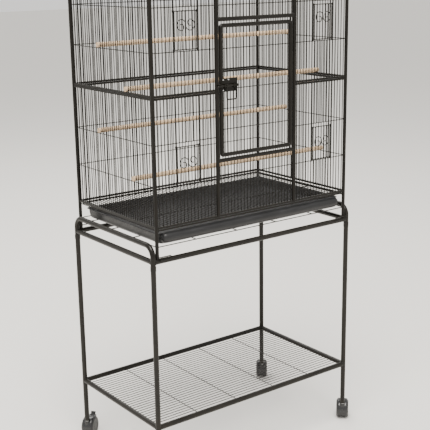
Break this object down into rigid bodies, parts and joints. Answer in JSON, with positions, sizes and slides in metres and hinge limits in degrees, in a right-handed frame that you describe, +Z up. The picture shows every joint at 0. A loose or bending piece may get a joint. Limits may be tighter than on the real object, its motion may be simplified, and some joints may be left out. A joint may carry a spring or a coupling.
{
  "type": "bird cage on stand",
  "caption": "Rectangular wire bird cage on a rolling tube stand, with a hinged front door, lift-up feeder doors, wooden perches, floor grille, slide-out tray and low shelf",
  "frame": {"origin": "on the floor, under the middle of the cage", "axes": "+Z up, the front with the big door faces -Y, +X to the right seen from the front"},
  "size_m": [0.8395, 0.5156, 1.576],
  "materials": {
    "powder_coat": "satin",
    "tray_plastic": "satin",
    "wood": "matte",
    "caster_plastic": "gloss",
    "wheel": "satin",
    "zinc": "satin"
  },
  "bodies": {
    "cage_and_stand": {"stand_leg_front_left": "powder_coat", "stand_leg_front_right": "powder_coat", "stand_leg_back_left": "powder_coat", "stand_leg_back_right": "powder_coat", "stand_hoop_left": "powder_coat", "stand_hoop_right": "powder_coat", "stand_side_rail_left": "powder_coat", "stand_side_rail_right": "powder_coat", "stand_front_rail": "powder_coat", "stand_back_rail": "powder_coat", "foot_clips": "powder_coat", "shelf_frame": "powder_coat", "shelf_wires": "powder_coat", "post_front_left": "powder_coat", "post_front_right": "powder_coat", "post_back_left": "powder_coat", "post_back_right": "powder_coat", "wall_left_lower": "powder_coat", "wall_left_upper": "powder_coat", "wall_right_lower": "powder_coat", "wall_right_upper": "powder_coat", "wall_back_lower": "powder_coat", "wall_back_upper": "powder_coat", "front_left_lower": "powder_coat", "front_left_upper": "powder_coat", "front_right_lower": "powder_coat", "front_right_upper": "powder_coat", "front_over_door": "powder_coat", "front_under_door": "powder_coat", "door_post_left": "powder_coat", "door_post_right": "powder_coat", "door_rail_top": "powder_coat", "door_rail_bottom": "powder_coat", "roof": "powder_coat", "tray_runner_left": "powder_coat", "tray_runner_right": "powder_coat", "tray_carrier": "powder_coat", "perches": "wood", "caster_stems": "zinc"},
    "floor_grille": {"floor_grille": "powder_coat"},
    "tray": {"tray": "tray_plastic"},
    "main_door": {"main_door": "powder_coat", "latch_plate": "powder_coat"},
    "latch_bolt": {"latch_bolt": "powder_coat"},
    "latch_bail": {"latch_bail": "powder_coat"},
    "feeder_door_upper_left": {"feeder_door_upper_left": "powder_coat"},
    "feeder_door_upper_right": {"feeder_door_upper_right": "powder_coat"},
    "feeder_door_lower_left": {"feeder_door_lower_left": "powder_coat"},
    "feeder_door_lower_right": {"feeder_door_lower_right": "powder_coat"},
    "caster_front_left": {"caster_hood_front_left": "caster_plastic"},
    "caster_wheels_front_left": {"caster_wheels_front_left": "wheel"},
    "brake_lever_front_left": {"brake_lever_front_left": "caster_plastic"},
    "caster_front_right": {"caster_hood_front_right": "caster_plastic"},
    "caster_wheels_front_right": {"caster_wheels_front_right": "wheel"},
    "caster_back_left": {"caster_hood_back_left": "caster_plastic"},
    "caster_wheels_back_left": {"caster_wheels_back_left": "wheel"},
    "brake_lever_back_left": {"brake_lever_back_left": "caster_plastic"},
    "caster_back_right": {"caster_hood_back_right": "caster_plastic"},
    "caster_wheels_back_right": {"caster_wheels_back_right": "wheel"}
  },
  "joints": [
    {"name": "main_door_hinge", "type": "hinge", "parent": "cage_and_stand", "child": "main_door", "pos_m": [0.1355, -0.222, 1.199], "axis": [0, 0, 1], "range_deg": [0, 100]},
    {"name": "latch_bolt_slide", "type": "slide", "parent": "main_door", "child": "latch_bolt", "axis": [1, 0, 0], "range_m": [0, 0.016]},
    {"name": "latch_bail_swing", "type": "hinge", "parent": "latch_bolt", "child": "latch_bail", "pos_m": [-0.102, -0.2349, 1.215], "axis": [-1, 0, 0], "range_deg": [0, 120]},
    {"name": "tray_slide", "type": "slide", "parent": "cage_and_stand", "child": "tray", "axis": [0, -1, 0], "range_m": [0, 0.4]},
    {"name": "floor_grille_slide", "type": "slide", "parent": "cage_and_stand", "child": "floor_grille", "axis": [0, -1, 0], "range_m": [0, 0.4]},
    {"name": "feeder_door_upper_left_lift", "type": "slide", "parent": "cage_and_stand", "child": "feeder_door_upper_left", "axis": [0, 0, 1], "range_m": [0, 0.105]},
    {"name": "feeder_door_upper_right_lift", "type": "slide", "parent": "cage_and_stand", "child": "feeder_door_upper_right", "axis": [0, 0, 1], "range_m": [0, 0.105]},
    {"name": "feeder_door_lower_left_lift", "type": "slide", "parent": "cage_and_stand", "child": "feeder_door_lower_left", "axis": [0, 0, 1], "range_m": [0, 0.105]},
    {"name": "feeder_door_lower_right_lift", "type": "slide", "parent": "cage_and_stand", "child": "feeder_door_lower_right", "axis": [0, 0, 1], "range_m": [0, 0.105]},
    {"name": "caster_swivel_front_left", "type": "hinge", "parent": "cage_and_stand", "child": "caster_front_left", "pos_m": [-0.385, -0.222, 0.05], "axis": [0, 0, 1], "continuous": true},
    {"name": "caster_roll_front_left", "type": "hinge", "parent": "caster_front_left", "child": "caster_wheels_front_left", "pos_m": [-0.36944, -0.20644, 0.03], "axis": [0.7071, -0.7071, 0], "continuous": true},
    {"name": "brake_lever_front_left_press", "type": "hinge", "parent": "caster_front_left", "child": "brake_lever_front_left", "pos_m": [-0.34886, -0.18586, 0.05443], "axis": [-0.7071, 0.7071, 0], "range_deg": [0, 25]},
    {"name": "caster_swivel_front_right", "type": "hinge", "parent": "cage_and_stand", "child": "caster_front_right", "pos_m": [0.385, -0.222, 0.05], "axis": [0, 0, 1], "continuous": true},
    {"name": "caster_roll_front_right", "type": "hinge", "parent": "caster_front_right", "child": "caster_wheels_front_right", "pos_m": [0.40056, -0.20644, 0.03], "axis": [0.7071, -0.7071, 0], "continuous": true},
    {"name": "caster_swivel_back_left", "type": "hinge", "parent": "cage_and_stand", "child": "caster_back_left", "pos_m": [-0.385, 0.222, 0.05], "axis": [0, 0, 1], "continuous": true},
    {"name": "caster_roll_back_left", "type": "hinge", "parent": "caster_back_left", "child": "caster_wheels_back_left", "pos_m": [-0.36766, 0.23555, 0.03], "axis": [0.6157, -0.788, 0], "continuous": true},
    {"name": "brake_lever_back_left_press", "type": "hinge", "parent": "caster_back_left", "child": "brake_lever_back_left", "pos_m": [-0.34473, 0.25347, 0.05443], "axis": [-0.6157, 0.788, 0], "range_deg": [0, 25]},
    {"name": "caster_swivel_back_right", "type": "hinge", "parent": "cage_and_stand", "child": "caster_back_right", "pos_m": [0.385, 0.222, 0.05], "axis": [0, 0, 1], "continuous": true},
    {"name": "caster_roll_back_right", "type": "hinge", "parent": "caster_back_right", "child": "caster_wheels_back_right", "pos_m": [0.39914, 0.23885, 0.03], "axis": [0.766, -0.6428, 0], "continuous": true}
  ]
}
